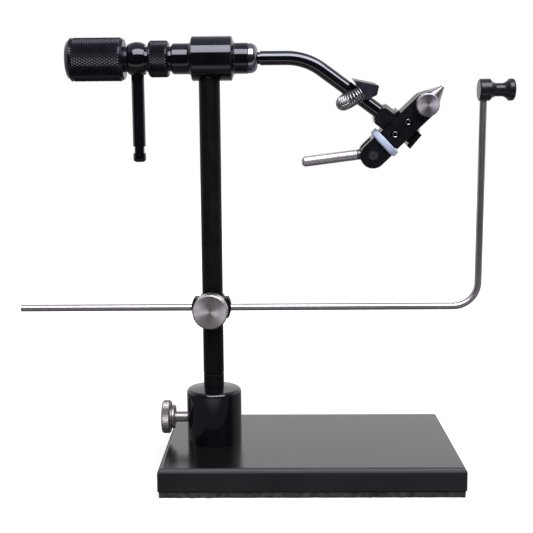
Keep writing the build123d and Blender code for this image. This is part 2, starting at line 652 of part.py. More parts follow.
# Jaws: the far one is fixed to the saddle, the near one tilts on the adjusting screw
half_tip = JAW_TIP_WIDTH / 2
nip_start = JAW_TIP_STATION - JAW_NIP
jaw_axis = Plane((0, 0, 0), x_dir=(1, 0, 0), z_dir=(0, 0, 1))
disc_edge_station = ADJUST_STATION + DISC_DIA / 2
cone_fall = (half_depth - JAW_TIP_DEPTH / 2) / (JAW_TIP_STATION - disc_edge_station)
cone_r = sqrt(half_width**2 + half_depth**2) + AIR
cone_station = disc_edge_station - (cone_r - half_depth) / cone_fall
tip_cone = turned(jaw_axis, [(0, cone_r), (cone_station, cone_r), (JAW_TIP_STATION, JAW_TIP_DEPTH / 2)])


def jaw(side, rear):
    """One jaw; side is 1 for the near jaw and -1 for the far one."""
    plan = outline(
        [
            (rear, -half_width),
            (JAW_TAPER_STATION, -half_width),
            (JAW_TIP_STATION, -half_tip),
            (JAW_TIP_STATION, half_tip),
            (JAW_TAPER_STATION, half_width),
            (rear, half_width),
        ]
    )
    inner = TIP_GAP / 2
    solid = Pos(0, 0, side * inner) * extrude(plan, amount=half_depth - inner, dir=(0, 0, side))
    relief = block((rear, -half_width, -half_gap), (nip_start, half_width, half_gap))
    return (solid - relief) & tip_cone


far_jaw = jaw(-1, JAW_REAR)
near_jaw = jaw(1, JAW_REAR + AIR)
near_jaw -= rod((ADJUST_STATION, 0, 0), (ADJUST_STATION, 0, JAW_DEPTH), ADJUST_DIA + 2 * GUIDE_PLAY)
far_jaw -= rod((ADJUST_STATION, 0, 0), (ADJUST_STATION, 0, -JAW_DEPTH), ADJUST_DIA + 2 * RUN_FIT)
for station in GUIDE_STATIONS:
    near_jaw -= rod((station, 0, 0), (station, 0, JAW_DEPTH), GUIDE_DIA + 2 * GUIDE_PLAY)
    far_jaw -= rod((station, 0, 0), (station, 0, -JAW_DEPTH), GUIDE_DIA + 2 * SNUG_FIT)
spring_low = half_gap - AIR - SPRING_RING_LENGTH
far_jaw -= rod(
    (ADJUST_STATION, 0, spring_low), (ADJUST_STATION, 0, 0), SPRING_RING_DIA + 2 * SNUG_FIT
)

# Wedge between the jaws, driven by the cam, with its ramp in the near jaw
wedge_back = CAM_R + CAM_PLAY
wedge_tip = GUIDE_STATIONS[0] - GUIDE_DIA / 2 - AIR
wedge_line = WEDGE_STATION + half_gap - WEDGE_PLAY * sqrt(2)
ramp = Plane.XZ * outline(
    [
        (JAW_REAR, half_gap),
        (WEDGE_STATION, half_gap),
        (JAW_REAR, half_gap + WEDGE_STATION - JAW_REAR),
    ]
)
near_jaw -= extrude(ramp, amount=WEDGE_DIA / 2 + AIR, both=True)
far_jaw -= rod((JAW_REAR, 0, 0), (wedge_tip + AIR, 0, 0), WEDGE_DIA + 2 * AIR)
parts["moving_jaw"] = JAW_FRAME * near_jaw
parts["fixed_jaw"] = JAW_FRAME * far_jaw
wedge = rod((wedge_back, 0, 0), (wedge_tip, 0, 0), WEDGE_DIA)
wedge_cut = Plane.XZ * outline(
    [
        (wedge_tip, wedge_line - wedge_tip),
        (wedge_tip, WEDGE_DIA),
        (wedge_line - WEDGE_DIA, WEDGE_DIA),
    ]
)
wedge -= extrude(wedge_cut, amount=WEDGE_DIA, both=True)
parts["jaw_wedge"] = JAW_FRAME * wedge

# Screws and spring of the jaws
guide_front = half_depth - GUIDE_SINK
guides = [
    set_screw((station, 0, guide_back), (station, 0, guide_front), GUIDE_DIA, GUIDE_KEY)
    for station in GUIDE_STATIONS
]
parts["jaw_guide_screws"] = JAW_FRAME * Compound(guides)
disc_back = half_depth + AIR
disc_front = disc_back + DISC_THICK
adjust_frame = Plane((ADJUST_STATION, 0, 0), x_dir=(0, 0, 1), z_dir=(0, 1, 0))
parts["jaw_adjust_screw"] = JAW_FRAME * turned(
    adjust_frame,
    [
        (-half_depth + AIR, ADJUST_DIA / 2),
        (disc_back, ADJUST_DIA / 2),
        (disc_back, DISC_DIA / 2 - DISC_EDGE),
        (disc_back + DISC_EDGE, DISC_DIA / 2),
        (disc_front - DISC_EDGE, DISC_DIA / 2),
        (disc_front, DISC_DIA / 2 - DISC_EDGE),
    ],
)
spring_high = spring_low + SPRING_RING_LENGTH
spring_ring = rod((ADJUST_STATION, 0, spring_low), (ADJUST_STATION, 0, spring_high), SPRING_RING_DIA)
spring_ring -= rod(
    (ADJUST_STATION, 0, spring_low),
    (ADJUST_STATION, 0, spring_high),
    SPRING_RING_DIA - 2 * SPRING_RING_WALL,
)
parts["jaw_spring"] = JAW_FRAME * spring_ring

# Nylon washer, clevis and pivot pin behind the jaws
nylon_r = NYLON_DIA / 2
nylon = turned(
    jaw_axis,
    [
        (CLEVIS_R, nylon_r - NYLON_ROUND),
        (
            *round_mid((CLEVIS_R + NYLON_ROUND, nylon_r - NYLON_ROUND), NYLON_ROUND, 135),
            CLEVIS_R + NYLON_ROUND,
            nylon_r,
        ),
        (JAW_REAR - NYLON_EDGE, nylon_r),
        (
            *round_mid((JAW_REAR - NYLON_EDGE, nylon_r - NYLON_EDGE), NYLON_EDGE, 45),
            JAW_REAR,
            nylon_r - NYLON_EDGE,
        ),
    ],
)
nylon -= rod((CLEVIS_R, 0, 0), (JAW_REAR, 0, 0), CLEVIS_NECK_DIA + 2 * SNUG_FIT)
parts["cam_washer"] = JAW_FRAME * nylon
half_clevis = CLEVIS_DEPTH / 2
half_slot = CLEVIS_SLOT / 2
clevis = rod((0, 0, -half_clevis), (0, 0, half_clevis), 2 * CLEVIS_R)
clevis += block((0, -CLEVIS_R, -half_clevis), (CLEVIS_R, CLEVIS_R, half_clevis))
clevis += rod((CLEVIS_R, 0, 0), (JAW_REAR, 0, 0), CLEVIS_NECK_DIA)
clevis -= block((-CLEVIS_R, -CLEVIS_R, -half_slot), (CLEVIS_R - CLEVIS_WEB, CLEVIS_R, half_slot))
clevis -= rod((0, 0, -half_clevis), (0, 0, half_clevis), PIN_END_DIA + 2 * SNUG_FIT)
clevis -= rod((0, 0, 0), (JAW_REAR, 0, 0), WEDGE_DIA + 2 * RUN_FIT)
parts["cam_clevis"] = JAW_FRAME * clevis
pin_frame = Plane((0, 0, 0), x_dir=(0, 0, 1), z_dir=(0, 1, 0))
parts["cam_pin"] = JAW_FRAME * turned(
    pin_frame,
    [
        (-half_clevis, PIN_END_DIA / 2),
        (-half_slot, PIN_END_DIA / 2),
        (-half_slot, PIN_DIA / 2),
        (half_slot, PIN_DIA / 2),
        (half_slot, PIN_END_DIA / 2),
        (half_clevis, PIN_END_DIA / 2),
    ],
)

# Lever: cam whose edge falls evenly over the swing, and the polished rod
half_cam = half_slot - CAM_SIDE_PLAY
cam_low = CAM_R - CAM_LIFT
cam_face = outline(
    [
        (*round_mid((0, 0), CAM_R - CAM_LIFT / 2, -LEVER_SWING / 2), CAM_R, 0),
        (0, CAM_R, -CAM_R, 0),
        (
            *round_mid((0, 0), CAM_R - CAM_LIFT / 2, (180 - LEVER_SWING) / 2 + 180),
            *round_mid((0, 0), cam_low, -LEVER_SWING),
        ),
    ]
)
lever_angle = 180 + LEVER_DROP - JAW_ANGLE
lever_way = Vector(cos(radians(lever_angle)), sin(radians(lever_angle)), 0)
lever_from = Vector(sin(radians(lever_angle)), -cos(radians(lever_angle)), 0) * LEVER_RISE
lever_root = lever_from + lever_way * LEVER_ROOT
spigot_end = lever_from + lever_way * (LEVER_ROOT - LEVER_SPIGOT)
cam = Pos(0, 0, -half_cam) * extrude(cam_face, amount=2 * half_cam)
cam += rod(lever_from, lever_root, LEVER_DIA)
cam -= rod((0, 0, -half_cam), (0, 0, half_cam), PIN_DIA + 2 * RUN_FIT)
cam -= rod(spigot_end, lever_root, LEVER_SPIGOT_DIA + 2 * SNUG_FIT)
parts["lever_cam"] = JAW_FRAME * cam
lever_frame = Plane(lever_from, x_dir=lever_way, z_dir=(0, 0, 1))
lever_r = LEVER_DIA / 2
tip_centre = (LEVER_REACH - LEVER_ROUND, lever_r - LEVER_ROUND)
parts["lever_rod"] = JAW_FRAME * turned(
    lever_frame,
    [
        (LEVER_ROOT - LEVER_SPIGOT, LEVER_SPIGOT_DIA / 2),
        (LEVER_ROOT, LEVER_SPIGOT_DIA / 2),
        (LEVER_ROOT, lever_r - LEVER_EDGE),
        (LEVER_ROOT + LEVER_EDGE, lever_r),
        (tip_centre[0], lever_r),
        (*round_mid(tip_centre, LEVER_ROUND, 45), LEVER_REACH, tip_centre[1]),
    ],
)

# Material clip: plate across the shaft
tilt = radians(CLIP_TILT + CLIP_ANGLE)
seat_half = COIL_R + WIRE_DIA
top_left = (
    CLIP_TOP_X * cos(radians(CLIP_ANGLE)) + CLIP_TOP_Z * sin(radians(CLIP_ANGLE)),
    -CLIP_TOP_X * sin(radians(CLIP_ANGLE)) + CLIP_TOP_Z * cos(radians(CLIP_ANGLE)),
)
top_right = (top_left[0] + CLIP_LENGTH * cos(tilt), top_left[1] - CLIP_LENGTH * sin(tilt))
low_right = (top_right[0] - CLIP_HEIGHT * sin(tilt), top_right[1] - CLIP_HEIGHT * cos(tilt))
clip_face = outline(
    [top_left, top_right, low_right, (LEG_LENGTH, -seat_half), (LEG_LENGTH, seat_half)]
)
clip = extrude(clip_face, amount=CLIP_WIDTH / 2, both=True)
clip = chamfer(clip.edges().filter_by(Axis.Z).sort_by(Axis.X)[-2:], CLIP_EDGE)
clip = CLIP_FRAME * clip
parts["clip_plate"] = clip - rod(tuple(BEND), tuple(CROSSING), 2 * SHAFT_HOLE_R)

# Material clip: coil spring bent in a loop round the shaft
loop_length = 2 * LEG_LENGTH + pi * LOOP_R
coil_from = COIL_LEAD
coil_to = loop_length - COIL_LEAD


def loop_point(s):
    """Point, direction and outward normal of the loop's centre line at length s, in the clip's frame."""
    turn = (s - LEG_LENGTH) / LOOP_R
    turn = min(max(turn, 0), pi)
    ahead = Vector(-cos(turn), 0, -sin(turn))
    outward = Vector(-sin(turn), 0, cos(turn))
    rest = s - LEG_LENGTH - turn * LOOP_R
    return outward * LOOP_R + ahead * rest, ahead, outward


def coil_point(quarter_turns):
    """Point and direction of the wire after a number of quarter turns."""
    alpha = quarter_turns * pi / 2
    rate = 2 * pi * COIL_TURNS / (coil_to - coil_from)
    s = coil_from + alpha / rate
    centre, ahead, outward = loop_point(s)
    bent = 1 / LOOP_R if LEG_LENGTH < s < loop_length - LEG_LENGTH else 0
    side = Vector(0, 1, 0)
    spot = centre + side * (COIL_R * cos(alpha)) + outward * (COIL_R * sin(alpha))
    along = ahead * (1 + COIL_R * sin(alpha) * bent)
    round_way = outward * (COIL_R * rate * cos(alpha)) - side * (COIL_R * rate * sin(alpha))
    return spot, (along + round_way).normalized()


def biarc(p0, t0, p1, t1):
    """Two tangent arcs from p0 with direction t0 to p1 with direction t1."""
    v = p1 - p0
    t = t0 + t1
    a = t.dot(t) - 4
    b = -2 * v.dot(t)
    d = (-b - sqrt(b * b - 4 * a * v.dot(v))) / (2 * a)
    q0 = p0 + t0 * d
    q1 = p1 - t1 * d
    joint = (q0 + q1) * 0.5
    return [TangentArc(p0, joint, tangent=t0), TangentArc(joint, p1, tangent=q1 - q0)]


first, first_way = coil_point(0)
last, last_way = coil_point(4 * COIL_TURNS)
down = Vector(-1, 0, 0)
lead_side = COIL_R * cos(radians(LEAD_TURN))
lead_out = COIL_R * sin(radians(LEAD_TURN))
wire_start = Vector(LEG_LENGTH, lead_side, LOOP_R - lead_out)
wire_end = Vector(LEG_LENGTH, lead_side, -LOOP_R - lead_out)
start_run = wire_start + down * WIRE_DIA
end_run = wire_end + down * WIRE_DIA
wire_edges = [Line(wire_start, start_run)]
wire_edges += biarc(start_run, down, first, first_way)
for half in range(2 * COIL_TURNS):
    wire_edges += biarc(*coil_point(2 * half), *coil_point(2 * half + 2))
wire_edges += biarc(last, last_way, end_run, down * -1)
wire_edges.append(Line(end_run, wire_end))
wire = Wire(wire_edges)
spring = sweep(Plane(wire_start, z_dir=down) * Circle(WIRE_DIA / 2), path=wire)
parts["clip_spring"] = CLIP_FRAME * spring

steps = 10  # points on each edge of the wire
wire_points = []
walked = [0.0]
for edge in wire_edges:
    for step in range(steps):
        wire_points.append(tuple(edge @ (step / steps)))
for one, two in zip(wire_points, wire_points[1:]):
    walked.append(walked[-1] + dist(one, two))
apart = 2 * COIL_R
least = min(
    dist(one, two)
    for i, one in enumerate(wire_points)
    for j, two in enumerate(wire_points[:i])
    if walked[i] - walked[j] > apart
)
print("clip spring: least gap to itself", round(least - WIRE_DIA, 3), "mm, volume", round(spring.volume, 2))
print("clip spring: section times length", round(pi * WIRE_DIA**2 / 4 * wire.length, 2))

# Bobbin rest: clamp block, liner, knob and screw
clamp_back = (POST_X, -CLAMP_BLOCK_BACK, REST_Z)
clamp_front = (POST_X, CLAMP_FRONT_Y, REST_Z)
clamp_low = REST_Z - CLAMP_HEIGHT / 2
clamp_high = REST_Z + CLAMP_HEIGHT / 2
clamp = rod(clamp_back, clamp_front, CLAMP_DIA)
clamp &= block(
    (POST_X - CLAMP_DIA, CLAMP_FRONT_Y, clamp_low), (POST_X + CLAMP_DIA, -CLAMP_BLOCK_BACK, clamp_high)
)
clamp = chamfer(clamp.faces().sort_by(Axis.Y)[0].edges(), CLAMP_EDGE)
clamp += rod(
    (POST_X, 0, REST_Z - CLAMP_RING / 2), (POST_X, 0, REST_Z + CLAMP_RING / 2), 2 * CLAMP_BACK_Y
)
clamp -= rod((POST_X, 0, clamp_low), (POST_X, 0, clamp_high), 2 * (LINER_R + RUN_FIT))
clamp -= rod(
    (POST_X - CLAMP_DIA, ROD_Y, REST_Z), (POST_X + CLAMP_DIA, ROD_Y, REST_Z), ROD_DIA + 2 * RUN_FIT
)
screw_z = REST_Z - CLAMP_SCREW_DROP
clamp -= rod((POST_X, ROD_Y, screw_z), (POST_X, CLAMP_FRONT_Y, screw_z), CLAMP_SCREW_DIA + 2 * RUN_FIT)
parts["clamp_block"] = clamp
liner = rod((POST_X, 0, clamp_low), (POST_X, 0, clamp_high), 2 * LINER_R)
parts["clamp_liner"] = liner - rod(
    (POST_X, 0, clamp_low), (POST_X, 0, clamp_high), STEM_DIA + 2 * RUN_FIT
)
knob_back_y = CLAMP_FRONT_Y - AIR
knob_grip_y = knob_back_y - CLAMP_SCREW_GRIP
disc_frame = Plane((POST_X, knob_back_y, screw_z), x_dir=FRONT, z_dir=(0, 0, 1))
disc_knob = turned(
    disc_frame,
    [
        (0, DISC_KNOB_DIA / 2 - DISC_KNOB_EDGE),
        (DISC_KNOB_EDGE, DISC_KNOB_DIA / 2),
        (DISC_KNOB_THICK - DISC_KNOB_EDGE, DISC_KNOB_DIA / 2),
        (DISC_KNOB_THICK, DISC_KNOB_DIA / 2 - DISC_KNOB_EDGE),
    ],
)
parts["clamp_knob"] = disc_knob - rod(
    (POST_X, knob_back_y, screw_z), (POST_X, knob_grip_y, screw_z), CLAMP_SCREW_DIA + 2 * SNUG_FIT
)
screw_tip_y = ROD_Y - ROD_DIA / 2 - TOUCH
parts["clamp_screw"] = rod((POST_X, screw_tip_y, screw_z), (POST_X, knob_grip_y, screw_z), CLAMP_SCREW_DIA)

# Bobbin rest: bent rod with its spool
rod_left = Vector(POST_X - ROD_LEFT, ROD_Y, REST_Z)
rod_corner = Vector(ROD_X - ROD_LEAN, ROD_Y, REST_Z)
rod_up = (Vector(ROD_X, ROD_Y, CRADLE_Z) - rod_corner).normalized()
rod_top = Vector(ROD_X, ROD_Y, CRADLE_Z) + rod_up * CRADLE_BORE
rod_path = FilletPolyline(rod_left, rod_corner, rod_top, radius=ROD_BEND_R)
parts["rest_rod"] = sweep(Plane(rod_left, z_dir=(1, 0, 0)) * Circle(ROD_DIA / 2), path=rod_path)
spool_frame = Plane((ROD_X, ROD_Y, CRADLE_Z), x_dir=(1, 0, 0), z_dir=FRONT)
hub_r = CRADLE_HUB_DIA / 2
waist_r = CRADLE_WAIST_DIA / 2
hub_end = (CRADLE_HUB_END, hub_r)
waist_from = (CRADLE_WAIST_FROM, waist_r)
waist_to = (CRADLE_WAIST_TO, waist_r)
flange_from = (CRADLE_FLANGE_FROM, hub_r)
end_round = CRADLE_END - CRADLE_FLANGE_TO
end_centre = (CRADLE_FLANGE_TO, hub_r - end_round)
spool = turned(
    spool_frame,
    [
        (-CRADLE_LEFT, hub_r - CRADLE_EDGE),
        (-CRADLE_LEFT + CRADLE_EDGE, hub_r),
        hub_end,
        (*bowed(hub_end, waist_from, -CRADLE_DISH), *waist_from),
        waist_to,
        (*bowed(waist_to, flange_from, -CRADLE_DISH), *flange_from),
        (CRADLE_FLANGE_TO, hub_r),
        (*round_mid(end_centre, end_round, 45), CRADLE_END, hub_r - end_round),
    ],
)
spool -= rod(tuple(rod_top - rod_up * CRADLE_HUB_DIA), tuple(rod_top), ROD_DIA + 2 * SNUG_FIT)
spool_back = (ROD_X, ROD_Y + hub_r, CRADLE_Z)
spool -= rod((ROD_X, ROD_Y, CRADLE_Z), spool_back, CRADLE_SCREW_DIA + 2 * SNUG_FIT)
parts["cradle_head"] = spool
parts["cradle_set_screw"] = set_screw(
    (ROD_X, ROD_Y + ROD_DIA / 2, CRADLE_Z),
    (ROD_X, ROD_Y + hub_r - SET_SCREW_SINK, CRADLE_Z),
    CRADLE_SCREW_DIA,
    GUIDE_KEY,
)

os.makedirs("parts", exist_ok=True)
for name, solid in parts.items():
    export_step(solid, f"parts/{name}.step")
print(len(parts), "parts written")
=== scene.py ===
# Rotary fly tying vise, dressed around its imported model. Metres, same frame as the model.
import math

import bmesh
import bpy
from mathutils import Matrix, Vector, noise


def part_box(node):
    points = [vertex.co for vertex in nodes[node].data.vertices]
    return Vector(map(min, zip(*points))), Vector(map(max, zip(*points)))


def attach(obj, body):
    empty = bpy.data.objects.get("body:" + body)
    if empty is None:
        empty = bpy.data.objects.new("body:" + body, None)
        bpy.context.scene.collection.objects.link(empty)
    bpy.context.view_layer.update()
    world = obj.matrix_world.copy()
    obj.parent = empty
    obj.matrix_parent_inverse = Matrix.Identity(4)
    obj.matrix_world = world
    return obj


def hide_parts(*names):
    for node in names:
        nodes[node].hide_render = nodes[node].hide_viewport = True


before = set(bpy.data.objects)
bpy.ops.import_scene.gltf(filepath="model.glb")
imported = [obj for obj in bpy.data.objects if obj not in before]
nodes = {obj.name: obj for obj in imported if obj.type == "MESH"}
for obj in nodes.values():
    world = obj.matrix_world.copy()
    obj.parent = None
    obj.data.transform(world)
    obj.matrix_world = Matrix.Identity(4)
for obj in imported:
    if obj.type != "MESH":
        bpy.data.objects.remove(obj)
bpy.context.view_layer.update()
fullTurn = 2 * math.pi
quarter = math.pi / 2
white = (1, 1, 1)
scene = bpy.context.scene
scene.view_settings.view_transform = "Standard"
print("frame loaded,", len(nodes), "nodes")


def addObject(name, data):
    item = bpy.data.objects.new(name, data)
    scene.collection.objects.link(item)
    return item


def axesAt(place, *axes):
    return Matrix.Translation(place) @ Matrix(axes).transposed().to_4x4()


# Camera at the photograph's place
view = {
    "place": (-0.013218, -0.426201, 0.153885),
    "down": 7.843,  # these three in degrees
    "turn": -0.83,
    "roll": -0.443,
    "focal": 934.889,  # in pixels of the image
    "image": 533,
    "sensor": 36.0,
    "nearest": 0.01,
}


def aimCamera():
    down, turn, roll = (math.radians(view[key]) for key in ("down", "turn", "roll"))
    level = math.cos(down)
    ahead = Vector((math.sin(turn) * level, math.cos(turn) * level, -math.sin(down)))
    right = Vector((math.cos(turn), -math.sin(turn), 0))
    up = right.cross(ahead)
    side = right * math.cos(roll) + up * math.sin(roll)
    top = up * math.cos(roll) - right * math.sin(roll)
    data = bpy.data.cameras.new("viewCamera")
    data.sensor_width = view["sensor"]
    data.lens = view["focal"] / view["image"] * view["sensor"]
    data.clip_start = view["nearest"]
    camera = addObject("viewCamera", data)
    camera.matrix_world = axesAt(view["place"], side, top, -ahead)
    scene.camera = camera


aimCamera()
print("camera placed")


# Node helpers
def addNode(tree, kind, **values):
    node = tree.nodes.new("ShaderNode" + kind)
    for name, value in values.items():
        setattr(node, name, value)
    return node


def feed(tree, value, socket):
    # a link from another node, or else a fixed value
    if isinstance(value, bpy.types.NodeSocket):
        tree.links.new(value, socket)
    elif socket.type == "RGBA":
        socket.default_value = (*value, 1)
    else:
        socket.default_value = value


def feedAll(tree, node, values):
    for name, value in values.items():
        feed(tree, value, node.inputs[name])


def shaderNode(tree, kind, values):
    node = addNode(tree, kind)
    feedAll(tree, node, values)
    return node.outputs[0]


def joinShaders(tree, kind, *sources):
    node = addNode(tree, kind)
    for source, socket in zip(sources, node.inputs):
        feed(tree, source, socket)
    return node.outputs[0]


def mathNode(tree, operation, first, second):
    node = addNode(tree, "Math", operation=operation)
    feed(tree, first, node.inputs[0])
    feed(tree, second, node.inputs[1])
    return node.outputs[0]


def vectorNode(tree, operation, *values):
    node = addNode(tree, "VectorMath", operation=operation)
    for value, socket in zip(values, node.inputs):
        feed(tree, value, socket)
    isNumber = operation in ("LENGTH", "DOT_PRODUCT")
    return node.outputs["Value" if isNumber else "Vector"]


def coordsNode(tree, kind):
    return addNode(tree, "TexCoord").outputs[kind]


def splitNode(tree, vector):
    node = addNode(tree, "SeparateXYZ")
    feed(tree, vector, node.inputs[0])
    return node.outputs


def spread(tree, value, low, high, fromLow=0.3, fromHigh=0.7, smooth=False):
    # the usual range holds most values of a noise texture
    node = addNode(tree, "MapRange", interpolation_type="SMOOTHSTEP" if smooth else "LINEAR")
    feedAll(tree, node, {
        "Value": value, "From Min": fromLow, "From Max": fromHigh, "To Min": low, "To Max": high,
    })
    return node.outputs[0]


def mixColour(tree, factor, first, second):
    node = addNode(tree, "Mix", data_type="RGBA")
    for index, value in ((0, factor), (6, first), (7, second)):  # sockets of a colour mix
        feed(tree, value, node.inputs[index])
    return node.outputs[2]


def startMaterial(name):
    mat = bpy.data.materials.new(name)
    mat.use_nodes = True
    tree = mat.node_tree
    tree.nodes.clear()
    out = addNode(tree, "OutputMaterial")
    return mat, tree, out.inputs["Surface"]


# Studio: one softbox above the front, white behind, a dim room in front
studio = {
    "boxPlace": (0.22, -0.95, 1.32),
    "boxTarget": (-0.03, 0.0, 0.15),
    "boxSize": (1.90, 1.05),
    "boxPower": 60.0,
    "boxTint": (0.83, 0.85, 1.0),
    "fill": 0.14,
    "fillTint": (1.0, 0.99, 0.98),
    "roomDim": (0.030, 0.029, 0.028),
    "whiteRange": (-0.30, 0.25),  # from the dim room to the white behind
    "overhead": (0.46, 0.48, 0.60),
    "overheadRange": (0.45, 0.85),
    "floorColour": (0.62, 0.62, 0.62),
    "floorGlow": (0.70, 1.1),  # near the piece and far from it, as the camera sees it
    "glowRange": (0.10, 0.42),
    "floorShade": 0.60,  # share of the lit floor that the camera sees
    "mirrorBands": (  # the floor in shiny pieces, a painted reflection: it glows in bands and the second band subtracts as painted shade under the piece; two strengths, then from where to where in Y
        (0.03, 0.90, -0.26, -0.19),
        (0, -0.72, -0.14, -0.11),
        (0, 0.35, 0.04, 0.25),
    ),
    "mirrorTint": (0.92, 0.92, 1.0),
    "floorSize": 6.0,
}


def buildWorld():
    world = bpy.data.worlds.new("studio")
    world.use_nodes = True
    tree = world.node_tree
    tree.nodes.clear()
    out = addNode(tree, "OutputWorld")
    path = addNode(tree, "LightPath").outputs
    way = splitNode(tree, coordsNode(tree, "Generated"))
    behind = spread(tree, way["Y"], 0, 1, *studio["whiteRange"], smooth=True)
    above = spread(tree, way["Z"], 0, 1, *studio["overheadRange"], smooth=True)
    room = mixColour(tree, behind, studio["roomDim"], white)
    ceiling = mixColour(tree, above, room, studio["overhead"])
    mirrored = shaderNode(tree, "Background", {"Color": ceiling})
    backdrop = shaderNode(tree, "Background", {"Color": white})
    fill = shaderNode(tree, "Background", {"Color": studio["fillTint"], "Strength": studio["fill"]})
    shine = mathNode(tree, "MAXIMUM", path["Is Glossy Ray"], path["Is Transmission Ray"])
    unseen = joinShaders(tree, "MixShader", shine, fill, mirrored)
    whole = joinShaders(tree, "MixShader", path["Is Camera Ray"], unseen, backdrop)
    feed(tree, whole, out.inputs["Surface"])
    scene.world = world


def buildSoftbox():
    data = bpy.data.lights.new("softbox", "AREA")
    data.shape = "RECTANGLE"
    data.size, data.size_y = studio["boxSize"]
    data.energy = studio["boxPower"]
    data.color = studio["boxTint"]
    lamp = addObject("softbox", data)
    aim = Vector(studio["boxTarget"]) - Vector(studio["boxPlace"])
    turned = aim.to_track_quat("-Z", "Y").to_matrix().to_4x4()
    lamp.matrix_world = Matrix.Translation(studio["boxPlace"]) @ turned


def floorMaterial():
    mat, tree, surface = startMaterial("paleFloor")
    path = addNode(tree, "LightPath").outputs
    here = coordsNode(tree, "Object")
    plain = shaderNode(tree, "BsdfDiffuse", {"Color": studio["floorColour"]})
    shade = [part * studio["floorShade"] for part in studio["floorColour"]]
    shaded = shaderNode(tree, "BsdfDiffuse", {"Color": shade})
    away = vectorNode(tree, "LENGTH", here)
    strength = spread(tree, away, *studio["floorGlow"], *studio["glowRange"])
    glow = shaderNode(tree, "Emission", {"Strength": strength})
    seen = joinShaders(tree, "AddShader", shaded, glow)
    # painted reflection: the floor glows in bands of Y that only shiny pieces see, darker under the
    # piece as painted shade
    across = splitNode(tree, here)["Y"]
    front, under, rear = (spread(tree, across, *band) for band in studio["mirrorBands"])
    bands = mathNode(tree, "ADD", mathNode(tree, "ADD", front, under), rear)
    mirrored = shaderNode(tree, "Emission", {"Color": studio["mirrorTint"], "Strength": bands})
    unseen = joinShaders(tree, "MixShader", path["Is Glossy Ray"], plain, mirrored)
    whole = joinShaders(tree, "MixShader", path["Is Camera Ray"], unseen, seen)
    feed(tree, whole, surface)
    return mat


def buildFloor():
    bm = bmesh.new()
    bmesh.ops.create_grid(bm, x_segments=1, y_segments=1, size=studio["floorSize"] / 2)
    mesh = bpy.data.meshes.new("floor")
    bm.to_mesh(mesh)
    bm.free()
    mesh.materials.append(floorMaterial())
    floor = addObject("floor", mesh)


buildWorld()
buildSoftbox()
buildFloor()
print("studio lit")


# Finishes
cloudDetail = 3


def startFinish(name):
    mat, tree, surface = startMaterial(name)
    shader = addNode(tree, "BsdfPrincipled")
    feed(tree, shader.outputs[0], surface)
    return mat, tree, shader


def pieceCoords(tree, centre=(0, 0, 0), turn=(0, 0, 0), stretch=(1, 1, 1)):
    moved = addNode(tree, "Mapping", vector_type="TEXTURE")
    feedAll(tree, moved, {
        "Vector": coordsNode(tree, "Object"), "Location": centre, "Rotation": turn,
    })
    scaled = addNode(tree, "Mapping")
    feedAll(tree, scaled, {"Vector": moved.outputs[0], "Scale": stretch})
    return scaled.outputs[0]


def speckle(tree, vector, scale, detail=2):
    node = addNode(tree, "TexNoise")
    feedAll(tree, node, {"Vector": vector, "Scale": scale, "Detail": detail})
    return node.outputs["Fac"]


def average(tree, first, second):
    return mathNode(tree, "MULTIPLY", mathNode(tree, "ADD", first, second), 0.5)


def relief(tree, shader, height, depth):
    node = addNode(tree, "Bump")
    feedAll(tree, node, {"Height": height, "Distance": depth})
    feed(tree, node.outputs[0], shader.inputs["Normal"])


def slopedEdge(tree):
    # 0 on level and upright faces, 1 halfway between them
    up = splitNode(tree, coordsNode(tree, "Normal"))["Z"]
    lean = spread(tree, up, 4, 0, 0, 1)  # 4 (1 - up), so the product peaks at 1
    return mathNode(tree, "MAXIMUM", mathNode(tree, "MULTIPLY", up, lean), 0)


def blackFinish(name, look):
    mat, tree, shader = startFinish(name)
    here = pieceCoords(tree, stretch=look.get("stretch", (1, 1, 1)))
    cloud = speckle(tree, here, look["cloudScale"], cloudDetail)
    grain = speckle(tree, here, look["grainScale"])
    rough = spread(tree, average(tree, cloud, grain), *look["rough"])
    if "edgeRough" in look:
        extra = mathNode(tree, "MULTIPLY", slopedEdge(tree), look["edgeRough"])
        rough = mathNode(tree, "ADD", rough, extra)
    feedAll(tree, shader, {
        "Base Color": mixColour(tree, spread(tree, cloud, 0, 1), look["dark"], look["light"]),
        "Roughness": rough, "Specular IOR Level": look["gloss"],
    })
    relief(tree, shader, grain, look["grainDepth"])
    return mat


def steelFinish(name, look):
    mat, tree, shader = startFinish(name)
    lines = pieceCoords(tree, stretch=look.get("stretch", (1, 1, 1)))
    streak = speckle(tree, lines, look["lineScale"])
    cloud = speckle(tree, pieceCoords(tree), look["cloudScale"], cloudDetail)
    feedAll(tree, shader, {
        "Base Color": mixColour(tree, spread(tree, streak, 0, 1), look["dark"], look["light"]),
        "Roughness": spread(tree, average(tree, cloud, streak), *look["rough"]), "Metallic": 1,
    })
    relief(tree, shader, streak, look["lineDepth"])
    return mat


